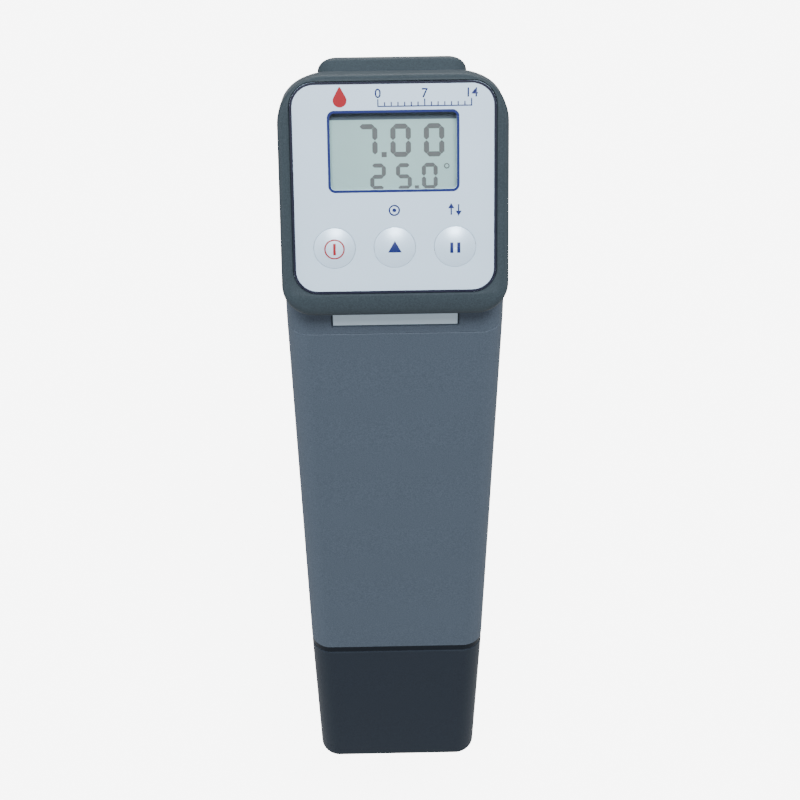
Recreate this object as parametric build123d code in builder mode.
"""Waterproof pen-type pH tester, standing on its protective cap.

Millimetres, +Z up along the body, display towards -Y. The origin is the centre of the cap's flat end.
The tilted face is worked on a plane whose local X is +X and whose local Y runs up the face, and the
battery door on a plane whose local Y runs down the rear slope of the head.
"""
import os
from math import atan2, degrees, hypot, radians, tan

from build123d import *

os.makedirs("parts", exist_ok=True)

# Body: width, front and back of the rounded section at each named height
cap_end_width, cap_end_front, cap_end_back = 35.4, -14.0, 14.0
collar_width, collar_front, collar_back = 37.4, -14.6, 14.4
seam_front, seam_back = -16.0, 15.2
collar_height = 44.0
seam_height = 142.0
body_corner = 4.3
housing_wall = 2.2
seam_chamfer = 0.3

# Tilted face of the head, from the panel's lower edge upwards
face_tilt = 28.0
panel_foot_front, panel_above_seam = -19.5, 13.45
panel_width, panel_length, panel_corner = 35.9, 37.7, 4.3
overlay_thickness = 0.6
panel_clearance = 0.2

# Bezel round the panel
bezel_border = 2.25
bezel_chin, bezel_crown = 4.35, 1.2
bezel_top_corner, bezel_foot_corner = 8.6, 5.8
bezel_depth = 4.0
bezel_proud = 0.4
bezel_round = 1.4
bezel_wall = 2.0
bezel_floor = 2.0
bezel_over_housing, head_step = 0.15, 0.05
chin_reach = 10.0
head_reach = 60.0
cavity_run_out = 1.0
gasket_width, gasket_thickness = 1.0, 0.4
groove_clearance, groove_run_out = 0.05, 1.0

# Display
window_side_margin, window_above_foot, window_below_top = 6.9, 18.7, 5.4
window_corner = 0.8
pane_lap = 1.2
pane_thickness = 1.0
pane_clearance = 0.1
lcd_side_lap, lcd_end_lap, lcd_thickness = 2.95, 2.2, 1.6
lcd_depth = 2.4
lcd_clearance = 0.15
holder_wall = 1.1
holder_back = 4.2
holder_window_margin = 0.5
connector_width, connector_end_margin, connector_margin = 1.6, 2.0, 0.2

# Keys
key_side_margin, key_gap = 7.3, 3.35
key_row = 8.3
key_edge, key_crown = 0.05, 0.95
key_travel = 0.5
key_clearance = 0.06
flange_width, flange_thickness = 0.75, 0.6
stem_radius = 1.2
rest_gap = 0.05

# Circuit board
board_side_gap, board_low, board_below_window_centre = 0.8, 1.2, 1.0
board_depth, board_thickness = 5.2, 1.0
board_corner = 1.5
dome_inset, dome_thickness = 1.15, 0.3
post_side_margin, post_low, post_high = 1.8, 2.8, 13.4
post_radius, pilot_radius, pilot_spare = 1.6, 0.8, 0.3
board_hole_clearance = 0.1
board_screw_head, board_screw_head_length, board_screw_length = 1.5, 1.0, 3.0
chip_sizes = [
    ((0.0, -8.5), (9.0, 9.0, 1.4)),
    ((-10.0, -7.0), (5.0, 4.0, 1.1)),
    ((10.0, -8.0), (6.0, 5.0, 1.6)),
]

# Rear slope and battery compartment, measured down the slope from the head's top edge
slope_margin, slope_foot_above_seam = 1.3, 14.18
door_start, door_foot_margin, door_width = 0.5, 2.93, 26.2
door_thickness, door_round, door_corner = 3.7, 1.6, 3.4
door_seat_gap = 0.05
well_above_door_foot, well_radius = 12.2, 10.4
plug_clearance, plug_depth = 0.15, 0.8
seal_inner, seal_width, seal_thickness = 10.7, 1.1, 0.5
cell_radius, cell_thickness, cell_gap = 10.0, 3.2, 0.05
cell_cap_radius, cell_cap_thickness = 8.8, 0.5
holder_outer_radius, holder_floor = 11.4, 0.8
contact_thickness, contact_radius, contact_width = 0.3, 7.0, 7.2
door_screw_x, door_screw_top, door_screw_foot = 10.3, 5.6, 2.9
door_screw_head, door_screw_head_length, door_screw_sunk = 1.7, 1.3, 0.4
door_screw_radius, door_screw_reach, screw_clearance = 0.85, 3.4, 0.05
boss_radius, boss_depth = 2.1, 4.2

# Serial plate under the chin
plate_width, plate_length, plate_thickness = 22.8, 6.0, 0.4
plate_above_seam, plate_sunk, plate_clearance = 1.9, 0.6, 0.35

# Joint of sleeve and housing
spigot_rise, spigot_root, spigot_thickness, spigot_clearance = 5.0, 5.0, 1.4, 0.1
spigot_overlap = 0.4
oring_height, oring_depth, oring_rise = 1.2, 0.7, 2.4

# Electrode socket in the sleeve's end
sleeve_floor = 2.4
barrel_radius, barrel_length, barrel_clearance = 10.0, 12.0, 0.08
socket_wall, socket_flange, socket_top, socket_headroom = 1.7, 2.5, 3.0, 2.0
pin_radius, pin_ring, pin_count, pin_length = 0.5, 4.5, 5, 3.6
pin_clearance = 0.1
flex_width, flex_thickness = 8.0, 0.3
flex_lap, flex_lift, flex_bend = 6.0, 0.6, 6.0
flex_above_seam, flex_below_seam = 1.0, 10.0
flex_trim = 1.0

# Electrode module
collar_thickness = 1.8
collar_inset = 0.1
collar_oring_rise, cap_oring_rise = 6.0, 3.2
core_radius, core_floor = 8.2, 2.0
cap_spigot_length, cap_fit = 7.7, 0.15
glass_radius, glass_wall, glass_y, glass_headroom = 3.0, 0.5, -1.6, 1.0
bulb_radius, bulb_height = 4.2, 17.2
wire_radius = 0.4
guard_radius, guard_wall, guard_foot = 8.5, 1.3, 11.0
guard_flange_radius, guard_flange = 10.0, 1.4
guard_slots, slot_width, slot_length = 4, 3.6, 13.0
probe_radius, probe_y, probe_foot, probe_stub, probe_round = 1.5, 5.0, 15.5, 1.0, 1.4
junction_radius, junction_x, junction_y = 1.0, 4.6, 3.0
junction_proud, junction_sunk = 0.9, 1.0
insert_thickness = 2.5
bore_gap = 0.05

# Cap
cap_wall, cap_floor = 2.4, 2.4
cap_foot_round = 1.8
sponge_height, sponge_clearance = 7.0, 0.4

# Widths and lengths that follow from the panel
bezel_width = panel_width + 2 * bezel_border
seam_width = bezel_width - 2 * (bezel_over_housing + head_step)
window_width = panel_width - 2 * window_side_margin
window_length = panel_length - window_above_foot - window_below_top
window_centre = window_above_foot + window_length / 2
lcd_width, lcd_length = window_width + 2 * lcd_side_lap, window_length + 2 * lcd_end_lap
connector_length = lcd_width - 2 * connector_end_margin
key_pitch = panel_width / 2 - key_side_margin
key_radius = (key_pitch - key_gap) / 2
flange_radius, dome_radius = key_radius + flange_width, key_radius - dome_inset
board_width = seam_width - 2 * (housing_wall + board_side_gap)
board_high = window_centre - board_below_window_centre
post_x = board_width / 2 - post_side_margin

# Planes and heights that follow from the sizes
face_lean = radians(face_tilt)
face = Plane(
    origin=(0, panel_foot_front, seam_height + panel_above_seam),
    x_dir=(1, 0, 0),
    z_dir=Vector(0, -1, 0).rotate(Axis.X, -face_tilt),
)
slope_origin = face.offset(-bezel_depth).from_local_coords(Vector(0, panel_length + slope_margin, 0))
slope_depth = seam_back - slope_origin.Y
slope_drop = slope_origin.Z - seam_height - slope_foot_above_seam
slope_angle = degrees(atan2(slope_drop, slope_depth))
slope = Plane(origin=slope_origin, x_dir=(1, 0, 0), z_dir=Vector(0, 0, 1).rotate(Axis.X, -slope_angle))
head_height = seam_height + panel_above_seam + panel_length
cap_top = collar_height - collar_thickness
collar_top = collar_height - rest_gap
spigot_foot = cap_top - cap_spigot_length
barrel_top = collar_top + barrel_length
socket_floor_height = collar_height + sleeve_floor
socket_bore_top = barrel_top + rest_gap + socket_headroom
socket_height = socket_bore_top + socket_top
key_places = [(-key_pitch, key_row), (0, key_row), (key_pitch, key_row)]
post_places = [(side * post_x, row) for side in (-1, 1) for row in (post_low, post_high)]
door_length = hypot(slope_depth, slope_drop) - door_start - door_foot_margin
door_centre = door_start + door_length / 2
well_centre = door_start + door_length - well_above_door_foot
door_screw_places = [
    (side * door_screw_x, row)
    for side in (-1, 1)
    for row in (door_start + door_screw_top, door_start + door_length - door_screw_foot)
]
well_places = [(0, well_centre)]

stations = [
    (0.0, cap_end_width, cap_end_front, cap_end_back),
    (collar_height, collar_width, collar_front, collar_back),
    (seam_height, seam_width, seam_front, seam_back),
    (head_height, seam_width, seam_front, seam_back),
]


def body_at(height):
    """Width, front and back of the body at a height, straight between the named stations."""
    low, high = stations[0], stations[1]
    for below, above in zip(stations, stations[1:]):
        if height >= below[0]:
            low, high = below, above
    share = (height - low[0]) / (high[0] - low[0])
    return [a + (b - a) * share for a, b in zip(low[1:], high[1:])]


def outline(height, inset=0.0):
    """Rounded section of the body at a height, drawn in by the inset."""
    width, front, back = body_at(height)
    with BuildSketch(Plane.XY.offset(height)) as section:
        with Locations((0, (front + back) / 2)):
            RectangleRounded(width - 2 * inset, back - front - 2 * inset, body_corner - inset)
    return section.sketch


def column(low, high, inset=0.0, bevel=0.0):
    """Solid of the body between two heights, with its upper edge bevelled where a bevel is given."""
    sections = [outline(low, inset), outline(high - bevel, inset)]
    if bevel:
        sections.append(outline(high, inset + bevel))
    with BuildPart() as piece:
        loft(sections=sections, ruled=True)
    return piece.part


def ring(low, high, outer_inset, inner_inset):
    """Band that follows the body's section, between two insets."""
    with BuildPart() as piece:
        add(column(low, high, outer_inset))
        add(column(low, high, inner_inset), mode=Mode.SUBTRACT)
    return piece.part


def head_outline(plane, inset=0.0, drop=0.0):
    """Outline of the head seen square to the face, drawn in by the inset and carried down by the drop."""
    foot = -bezel_chin + inset - drop
    crown = panel_length + bezel_crown - inset
    with BuildSketch(plane) as shape:
        with Locations((0, (foot + crown) / 2)):
            Rectangle(bezel_width - 2 * inset, crown - foot)
        fillet(shape.vertices().group_by(Axis.Y)[-1], bezel_top_corner - inset)
        fillet(shape.vertices().group_by(Axis.Y)[0], bezel_foot_corner - inset)
    return shape.sketch


def gasket_outline(grow=0.0):
    """Band of the bezel's gasket on the rim of the housing, or its groove where it is grown."""
    rim = bezel_over_housing + (housing_wall - gasket_width) / 2
    with BuildSketch(face.offset(-bezel_depth)) as shape:
        add(head_outline(Plane.XY, rim - grow))
        add(head_outline(Plane.XY, rim + gasket_width + grow), mode=Mode.SUBTRACT)
    return shape.sketch


def panel_outline(plane, grow=0.0):
    """Outline of the printed panel."""
    with BuildSketch(plane) as shape:
        with Locations((0, panel_length / 2)):
            RectangleRounded(panel_width + 2 * grow, panel_length + 2 * grow, panel_corner + grow)
    return shape.sketch


def block(plane, centre, width, length, corner=0.0):
    """Rectangle on a plane, with rounded corners where a corner is given."""
    with BuildSketch(plane) as shape:
        with Locations(centre):
            if corner:
                RectangleRounded(width, length, corner)
            else:
                Rectangle(width, length)
    return shape.sketch


def discs(plane, places, radius):
    """Round outlines of one radius at several places on a plane."""
    with BuildSketch(plane) as shape:
        with Locations(*places):
            Circle(radius)
    return shape.sketch


def head_form(inset=0.0, opened=0.0):
    """Solid of the head behind the bezel. Its cavity is this form drawn in, and opened below and in front."""
    base = seam_height - opened
    front = face.offset(opened - bezel_depth).origin
    rear = slope.offset(-inset).origin
    lean, fall = tan(face_lean), 1 / tan(radians(slope_angle))
    ridge = (rear.Y + rear.Z * fall - front.Y + front.Z * lean) / (lean + fall)
    side_inset = inset + bezel_over_housing
    with BuildPart() as form:
        add(column(base, head_height, inset))
        extrude(head_outline(face.offset(opened), side_inset), amount=-(bezel_depth + chin_reach))
        extrude(
            head_outline(face, side_inset, drop=head_reach),
            amount=head_reach,
            both=True,
            mode=Mode.INTERSECT,
        )
        with BuildSketch(Plane.YZ):
            with BuildLine():
                Polyline(
                    (front.Y + (base - front.Z) * lean, base),
                    (front.Y + (ridge - front.Z) * lean, ridge),
                    (rear.Y + (rear.Z - base) * fall, base),
                    close=True,
                )
            make_face()
        extrude(amount=bezel_width, both=True, mode=Mode.INTERSECT)
    return form.part


def finish(part, name):
    """Label a finished piece and write its STEP file."""
    part.label = name
    export_step(part, f"parts/{name}.step")


# Upper housing with its wedge head
plate_centre = (0, seam_height + plate_above_seam + plate_length / 2)
plate_plane = Plane(origin=(0, seam_front, 0), x_dir=(1, 0, 0), z_dir=(0, -1, 0))
with BuildPart() as upper_housing:
    add(head_form())
    add(head_form(housing_wall, opened=cavity_run_out), mode=Mode.SUBTRACT)
    extrude(discs(slope, door_screw_places, boss_radius), amount=-boss_depth)
    extrude(discs(slope, well_places, well_radius), amount=-2 * housing_wall, mode=Mode.SUBTRACT)
    extrude(
        discs(slope, door_screw_places, door_screw_radius + screw_clearance),
        amount=-(door_screw_reach + pilot_spare),
        mode=Mode.SUBTRACT,
    )
    extrude(gasket_outline(groove_clearance), amount=-gasket_thickness, mode=Mode.SUBTRACT)
    extrude(
        block(
            plate_plane,
            plate_centre,
            plate_width + 2 * plate_clearance,
            plate_length + 2 * plate_clearance,
        ),
        amount=-plate_sunk,
        mode=Mode.SUBTRACT,
    )
finish(upper_housing.part, "upper_housing")

with BuildPart() as serial_plate:
    extrude(
        block(plate_plane.offset(-plate_sunk), plate_centre, plate_width, plate_length),
        amount=plate_thickness,
    )
finish(serial_plate.part, "serial_plate")

# Bezel with its rear posts
with BuildPart() as head_bezel:
    extrude(head_outline(face.offset(bezel_proud)), amount=-(bezel_proud + bezel_depth))
    fillet(head_bezel.faces().sort_by(Axis((0, 0, 0), face.z_dir))[-1].edges(), bezel_round)
    extrude(
        panel_outline(face.offset(bezel_proud), panel_clearance),
        amount=-(bezel_proud + overlay_thickness),
        mode=Mode.SUBTRACT,
    )
    extrude(
        head_outline(face.offset(-bezel_depth), bezel_wall),
        amount=bezel_depth - bezel_floor,
        mode=Mode.SUBTRACT,
    )
    extrude(
        block(
            face.offset(-overlay_thickness),
            (0, window_centre),
            window_width + 2 * pane_lap + 2 * pane_clearance,
            window_length + 2 * pane_lap + 2 * pane_clearance,
            window_corner + pane_lap,
        ),
        amount=-bezel_floor,
        mode=Mode.SUBTRACT,
    )
    extrude(
        discs(face.offset(-overlay_thickness), key_places, key_radius + key_clearance),
        amount=-bezel_floor,
        mode=Mode.SUBTRACT,
    )
    extrude(discs(face.offset(-bezel_floor), post_places, post_radius), amount=-(board_depth - bezel_floor))
    extrude(
        discs(face.offset(-board_depth), post_places, pilot_radius),
        amount=board_screw_length - board_thickness + pilot_spare,
        mode=Mode.SUBTRACT,
    )
finish(head_bezel.part, "head_bezel")

with BuildPart() as bezel_gasket:
    extrude(gasket_outline(), amount=-gasket_thickness)
finish(bezel_gasket.part, "bezel_gasket")

# Printed panel
with BuildPart() as face_overlay:
    extrude(panel_outline(face), amount=-overlay_thickness)
    extrude(
        block(face, (0, window_centre), window_width, window_length, window_corner),
        amount=-overlay_thickness,
        mode=Mode.SUBTRACT,
    )
    extrude(
        discs(face, key_places, key_radius + key_clearance),
        amount=-overlay_thickness,
        mode=Mode.SUBTRACT,
    )
finish(face_overlay.part, "face_overlay")

# Display: window pane, cell, frame and the strip that joins the cell to the board
with BuildPart() as display_window:
    extrude(
        block(
            face.offset(-overlay_thickness),
            (0, window_centre),
            window_width + 2 * pane_lap,
            window_length + 2 * pane_lap,
            window_corner + pane_lap - pane_clearance,
        ),
        amount=-pane_thickness,
    )
finish(display_window.part, "display_window")

with BuildPart() as lcd_cell:
    extrude(block(face.offset(-lcd_depth), (0, window_centre), lcd_width, lcd_length), amount=-lcd_thickness)
finish(lcd_cell.part, "lcd_cell")

pocket_width, pocket_length = lcd_width + 2 * lcd_clearance, lcd_length + 2 * lcd_clearance
connector_row = window_centre - lcd_length / 2 + connector_width / 2 + connector_margin
with BuildPart() as lcd_holder:
    extrude(
        block(
            face.offset(-bezel_floor),
            (0, window_centre),
            pocket_width + 2 * holder_wall,
            pocket_length + 2 * holder_wall,
            holder_wall,
        ),
        amount=bezel_floor - holder_back,
    )
    extrude(
        block(
            face.offset(-bezel_floor),
            (0, window_centre),
            window_width + 2 * holder_window_margin,
            window_length + 2 * holder_window_margin,
            holder_window_margin,
        ),
        amount=bezel_floor - holder_back,
        mode=Mode.SUBTRACT,
    )
    extrude(
        block(face.offset(-lcd_depth), (0, window_centre), pocket_width, pocket_length),
        amount=lcd_depth - holder_back,
        mode=Mode.SUBTRACT,
    )
finish(lcd_holder.part, "lcd_holder")

with BuildPart() as lcd_connector:
    extrude(
        block(face.offset(-lcd_depth - lcd_thickness), (0, connector_row), connector_length, connector_width),
        amount=lcd_depth + lcd_thickness - board_depth,
    )
finish(lcd_connector.part, "lcd_connector")

# Circuit board with its chips, snap domes and screws
board_back = face.offset(-board_depth - board_thickness)
with BuildPart() as main_board:
    extrude(
        block(
            face.offset(-board_depth),
            (0, (board_low + board_high) / 2),
            board_width,
            board_high - board_low,
            board_corner,
        ),
        amount=-board_thickness,
    )
    extrude(
        discs(face.offset(-board_depth), post_places, pilot_radius + board_hole_clearance),
        amount=-board_thickness,
        mode=Mode.SUBTRACT,
    )
finish(main_board.part, "main_board")

with BuildPart() as board_chips:
    for (across, up), (width, length, height) in chip_sizes:
        extrude(block(board_back, (across, board_high + up), width, length), amount=-height)
finish(board_chips.part, "board_chips")

with BuildPart() as key_domes:
    extrude(discs(face.offset(-board_depth), key_places, dome_radius), amount=dome_thickness)
finish(key_domes.part, "key_domes")

with BuildPart() as board_screws:
    extrude(discs(board_back, post_places, board_screw_head), amount=-board_screw_head_length)
    extrude(discs(board_back, post_places, pilot_radius - screw_clearance), amount=board_screw_length)
finish(board_screws.part, "board_screws")

# Keys: domed crown, retaining flange and stem, turned about each key's own axis
stem_end = board_depth - dome_thickness - rest_gap - key_travel
flange_front = bezel_floor + rest_gap
for name, place in zip(("power_key", "up_key", "hold_key"), key_places):
    centre = face.from_local_coords(Vector(*place, 0))
    with BuildPart() as key:
        with BuildSketch(Plane(origin=centre, x_dir=(1, 0, 0), z_dir=-face.y_dir)):
            with BuildLine():
                crown = TangentArc((0, key_crown), (key_radius, key_edge), tangent=(1, 0))
                Polyline(
                    crown @ 1,
                    (key_radius, -flange_front),
                    (flange_radius, -flange_front),
                    (flange_radius, -flange_front - flange_thickness),
                    (stem_radius, -flange_front - flange_thickness),
                    (stem_radius, -stem_end),
                    (0, -stem_end),
                    (0, key_crown),
                )
            make_face()
        revolve(axis=Axis(centre, face.z_dir))
    finish(key.part, name)

# Battery compartment under the rear slope
cell_top = plug_depth + cell_gap
cell_foot = cell_top + 2 * cell_thickness + cell_gap
holder_foot = cell_foot + contact_thickness + holder_floor
with BuildPart() as battery_holder:
    extrude(
        discs(slope.offset(-housing_wall), well_places, holder_outer_radius),
        amount=housing_wall - holder_foot,
    )
    extrude(
        discs(slope.offset(-housing_wall), well_places, well_radius),
        amount=housing_wall - cell_foot - contact_thickness,
        mode=Mode.SUBTRACT,
    )
finish(battery_holder.part, "battery_holder")

with BuildPart() as coin_cells:
    for depth in (cell_top, cell_top + cell_thickness + cell_gap):
        can = cell_thickness - cell_cap_thickness
        extrude(discs(slope.offset(-depth), well_places, cell_radius), amount=-can)
        extrude(discs(slope.offset(-depth - can), well_places, cell_cap_radius), amount=-cell_cap_thickness)
finish(coin_cells.part, "coin_cells")

with BuildPart() as battery_contact_minus:
    extrude(discs(slope.offset(-cell_foot), well_places, contact_radius), amount=-contact_thickness)
finish(battery_contact_minus.part, "battery_contact_minus")

with BuildPart() as battery_contact_plus:
    with BuildSketch(slope.offset(-housing_wall)):
        with Locations(*well_places):
            Circle(well_radius - groove_clearance)
            Circle(cell_radius + groove_clearance, mode=Mode.SUBTRACT)
        with Locations((well_radius, well_centre)):
            Rectangle(well_radius, contact_width, mode=Mode.INTERSECT)
    extrude(amount=housing_wall - cell_top - cell_thickness)
finish(battery_contact_plus.part, "battery_contact_plus")

with BuildPart() as battery_door:
    extrude(
        block(slope.offset(door_seat_gap), (0, door_centre), door_width, door_length, door_corner),
        amount=door_thickness - door_seat_gap,
    )
    fillet(battery_door.faces().sort_by(Axis((0, 0, 0), slope.z_dir))[-1].edges(), door_round)
    extrude(discs(slope.offset(door_seat_gap), well_places, well_radius - plug_clearance), amount=-plug_depth)
    with BuildSketch(slope.offset(door_seat_gap)):
        with Locations(*well_places):
            Circle(seal_inner + seal_width + groove_clearance)
            Circle(seal_inner - groove_clearance, mode=Mode.SUBTRACT)
    extrude(amount=seal_thickness, mode=Mode.SUBTRACT)
    extrude(
        discs(slope, door_screw_places, door_screw_radius + screw_clearance),
        amount=door_thickness,
        mode=Mode.SUBTRACT,
    )
    extrude(
        discs(slope.offset(door_thickness), door_screw_places, door_screw_head + 2 * screw_clearance),
        amount=-(door_screw_head_length + door_screw_sunk),
        mode=Mode.SUBTRACT,
    )
finish(battery_door.part, "battery_door")

with BuildPart() as door_seal:
    with BuildSketch(slope.offset(door_seat_gap)):
        with Locations(*well_places):
            Circle(seal_inner + seal_width)
            Circle(seal_inner, mode=Mode.SUBTRACT)
    extrude(amount=seal_thickness)
finish(door_seal.part, "door_seal")

screw_seat_height = door_thickness - door_screw_head_length - door_screw_sunk
screw_seat = slope.offset(screw_seat_height)
with BuildPart() as door_screws:
    extrude(discs(screw_seat, door_screw_places, door_screw_head), amount=door_screw_head_length)
    extrude(
        discs(screw_seat, door_screw_places, door_screw_radius),
        amount=-(screw_seat_height + door_screw_reach),
    )
finish(door_screws.part, "door_screws")

# Grip sleeve, with the spigot that enters the housing
spigot_outer = housing_wall + spigot_clearance
spigot_inner = spigot_outer + spigot_thickness
groove_low = seam_height + oring_rise - groove_clearance
with BuildPart() as grip_sleeve:
    add(column(collar_height, seam_height, bevel=seam_chamfer))
    add(column(collar_height + sleeve_floor, seam_height, housing_wall), mode=Mode.SUBTRACT)
    add(ring(seam_height - spigot_root, seam_height, housing_wall - spigot_overlap, spigot_inner))
    add(ring(seam_height, seam_height + spigot_rise, spigot_outer, spigot_inner))
    add(
        ring(
            groove_low,
            groove_low + oring_height + 2 * groove_clearance,
            spigot_outer - groove_run_out,
            spigot_outer + oring_depth,
        ),
        mode=Mode.SUBTRACT,
    )
    with Locations((0, 0, collar_height)):
        Cylinder(
            barrel_radius + barrel_clearance,
            sleeve_floor,
            align=(Align.CENTER, Align.CENTER, Align.MIN),
            mode=Mode.SUBTRACT,
        )
finish(grip_sleeve.part, "grip_sleeve")

with BuildPart() as sleeve_seal:
    add(
        ring(
            groove_low + groove_clearance,
            groove_low + groove_clearance + oring_height,
            housing_wall + groove_clearance,
            spigot_outer + oring_depth - groove_clearance,
        )
    )
finish(sleeve_seal.part, "sleeve_seal")

# Electrode socket at the foot of the sleeve, and the ribbon from it to the board
with BuildPart() as electrode_socket:
    add(column(socket_floor_height, socket_floor_height + socket_flange, housing_wall + rest_gap))
    with BuildSketch(Plane.XY.offset(socket_floor_height)):
        Circle(barrel_radius + socket_wall)
    extrude(amount=socket_height - socket_floor_height)
    with BuildSketch(Plane.XY.offset(socket_floor_height)):
        Circle(barrel_radius + barrel_clearance)
    extrude(amount=socket_bore_top - socket_floor_height, mode=Mode.SUBTRACT)
    with BuildSketch(Plane.XY.offset(socket_bore_top)):
        with PolarLocations(pin_ring, pin_count):
            Circle(pin_radius + pin_clearance)
    extrude(amount=socket_top, mode=Mode.SUBTRACT)
finish(electrode_socket.part, "electrode_socket")

flex_top = face.offset(-board_depth - board_thickness - flex_thickness / 2)
with BuildPart() as sensor_flex:
    with BuildSketch(Plane.YZ):
        with BuildLine():
            board_end = flex_top.from_local_coords(Vector(0, board_low + flex_lap, 0))
            board_edge = flex_top.from_local_coords(Vector(0, board_low + flex_lift, 0))
            Polyline(
                (board_end.Y, board_end.Z),
                (board_edge.Y, board_edge.Z),
                (board_edge.Y + flex_bend, seam_height + flex_above_seam),
                (0, seam_height - flex_below_seam),
                (0, socket_height),
            )
        trace(line_width=flex_thickness)
    extrude(amount=flex_width / 2, both=True)
    with BuildSketch(Plane.XY.offset(socket_height - flex_trim)):
        Rectangle(flex_width * 2, flex_width)
    extrude(amount=flex_trim, mode=Mode.SUBTRACT)
finish(sensor_flex.part, "sensor_flex")

# Electrode module: moulded collar with its barrel above and its cap spigot below
core_bottom = collar_top + core_floor
bore_places = [
    ((0, glass_y), glass_radius + bore_gap),
    ((0, probe_y), probe_radius + bore_gap),
    ((junction_x, junction_y), junction_radius + bore_gap),
]
cap_seal_low = spigot_foot + cap_oring_rise
collar_seal_low = collar_top + collar_oring_rise
with BuildPart() as electrode_collar:
    add(column(cap_top + rest_gap, collar_top, collar_inset))
    add(column(spigot_foot, cap_top + rest_gap, cap_wall + cap_fit))
    with BuildSketch(Plane.XY.offset(collar_top)):
        Circle(barrel_radius)
    extrude(amount=barrel_length)
    with BuildSketch(Plane.XY.offset(core_bottom)):
        Circle(core_radius)
    extrude(amount=barrel_top - core_bottom, mode=Mode.SUBTRACT)
    for place, radius in bore_places:
        extrude(
            discs(Plane.XY.offset(spigot_foot), [place], radius),
            amount=core_bottom - spigot_foot,
            mode=Mode.SUBTRACT,
        )
    with BuildSketch(Plane.XY.offset(collar_seal_low - groove_clearance)):
        Circle(barrel_radius + groove_run_out)
        Circle(barrel_radius - oring_depth - groove_clearance, mode=Mode.SUBTRACT)
    extrude(amount=oring_height + 2 * groove_clearance, mode=Mode.SUBTRACT)
    add(
        ring(
            cap_seal_low - groove_clearance,
            cap_seal_low + oring_height + groove_clearance,
            cap_wall + cap_fit - groove_run_out,
            cap_wall + cap_fit + oring_depth + groove_clearance,
        ),
        mode=Mode.SUBTRACT,
    )
finish(electrode_collar.part, "electrode_collar")

with BuildPart() as collar_seal:
    with BuildSketch(Plane.XY.offset(collar_seal_low)):
        Circle(barrel_radius + barrel_clearance / 2)
        Circle(barrel_radius - oring_depth, mode=Mode.SUBTRACT)
    extrude(amount=oring_height)
finish(collar_seal.part, "collar_seal")

with BuildPart() as cap_seal:
    add(
        ring(
            cap_seal_low,
            cap_seal_low + oring_height,
            cap_wall + cap_fit / 3,
            cap_wall + cap_fit + oring_depth,
        )
    )
finish(cap_seal.part, "cap_seal")

with BuildPart() as connector_insert:
    with BuildSketch(Plane.XY.offset(barrel_top - insert_thickness)):
        Circle(core_radius - bore_gap)
        with PolarLocations(pin_ring, pin_count):
            Circle(pin_radius + bore_gap, mode=Mode.SUBTRACT)
    extrude(amount=insert_thickness)
finish(connector_insert.part, "connector_insert")

with BuildPart() as plug_pins:
    with BuildSketch(Plane.XY.offset(barrel_top - insert_thickness)):
        with PolarLocations(pin_ring, pin_count):
            Circle(pin_radius)
    extrude(amount=insert_thickness + pin_length)
finish(plug_pins.part, "plug_pins")

glass_top = barrel_top - insert_thickness - glass_headroom
with BuildPart() as glass_electrode:
    with Locations((0, glass_y, bulb_height)):
        Sphere(bulb_radius)
        Cylinder(glass_radius, glass_top - bulb_height, align=(Align.CENTER, Align.CENTER, Align.MIN))
        Sphere(bulb_radius - glass_wall, mode=Mode.SUBTRACT)
        Cylinder(
            glass_radius - glass_wall,
            glass_top - bulb_height,
            align=(Align.CENTER, Align.CENTER, Align.MIN),
            mode=Mode.SUBTRACT,
        )
finish(glass_electrode.part, "glass_electrode")

with BuildPart() as reference_wire:
    with Locations((0, glass_y, bulb_height)):
        Cylinder(
            wire_radius,
            barrel_top - insert_thickness - bulb_height,
            align=(Align.CENTER, Align.CENTER, Align.MIN),
        )
finish(reference_wire.part, "reference_wire")

with BuildPart() as reference_junction:
    with Locations((junction_x, junction_y, spigot_foot - junction_proud)):
        Cylinder(
            junction_radius,
            core_bottom - spigot_foot + junction_proud - junction_sunk,
            align=(Align.CENTER, Align.CENTER, Align.MIN),
        )
finish(reference_junction.part, "reference_junction")

with BuildPart() as temperature_probe:
    with Locations((0, probe_y, probe_foot)):
        Cylinder(
            probe_radius,
            core_bottom + probe_stub - probe_foot,
            align=(Align.CENTER, Align.CENTER, Align.MIN),
        )
    fillet(temperature_probe.edges().sort_by(Axis.Z)[0], probe_round)
finish(temperature_probe.part, "temperature_probe")

with BuildPart() as probe_guard:
    with BuildSketch(Plane.XY.offset(guard_foot)):
        Circle(guard_radius)
    extrude(amount=spigot_foot - guard_foot)
    with BuildSketch(Plane.XY.offset(spigot_foot - guard_flange)):
        Circle(guard_flange_radius)
    extrude(amount=guard_flange)
    with BuildSketch(Plane.XY.offset(guard_foot)):
        Circle(guard_radius - guard_wall)
    extrude(amount=spigot_foot - guard_foot, mode=Mode.SUBTRACT)
    with BuildSketch(Plane.XY.offset(guard_foot)):
        with PolarLocations(guard_radius, guard_slots, start_angle=45):
            Rectangle(3 * guard_wall, slot_width)
    extrude(amount=slot_length, mode=Mode.SUBTRACT)
finish(probe_guard.part, "probe_guard")

# Protective cap and its sponge
with BuildPart() as protective_cap:
    add(column(0, cap_top, bevel=seam_chamfer))
    fillet(protective_cap.faces().sort_by(Axis.Z)[0].edges(), cap_foot_round)
    add(column(cap_floor, cap_top, cap_wall), mode=Mode.SUBTRACT)
finish(protective_cap.part, "protective_cap")

with BuildPart() as cap_sponge:
    add(column(cap_floor, cap_floor + sponge_height, cap_wall + sponge_clearance))
finish(cap_sponge.part, "cap_sponge")
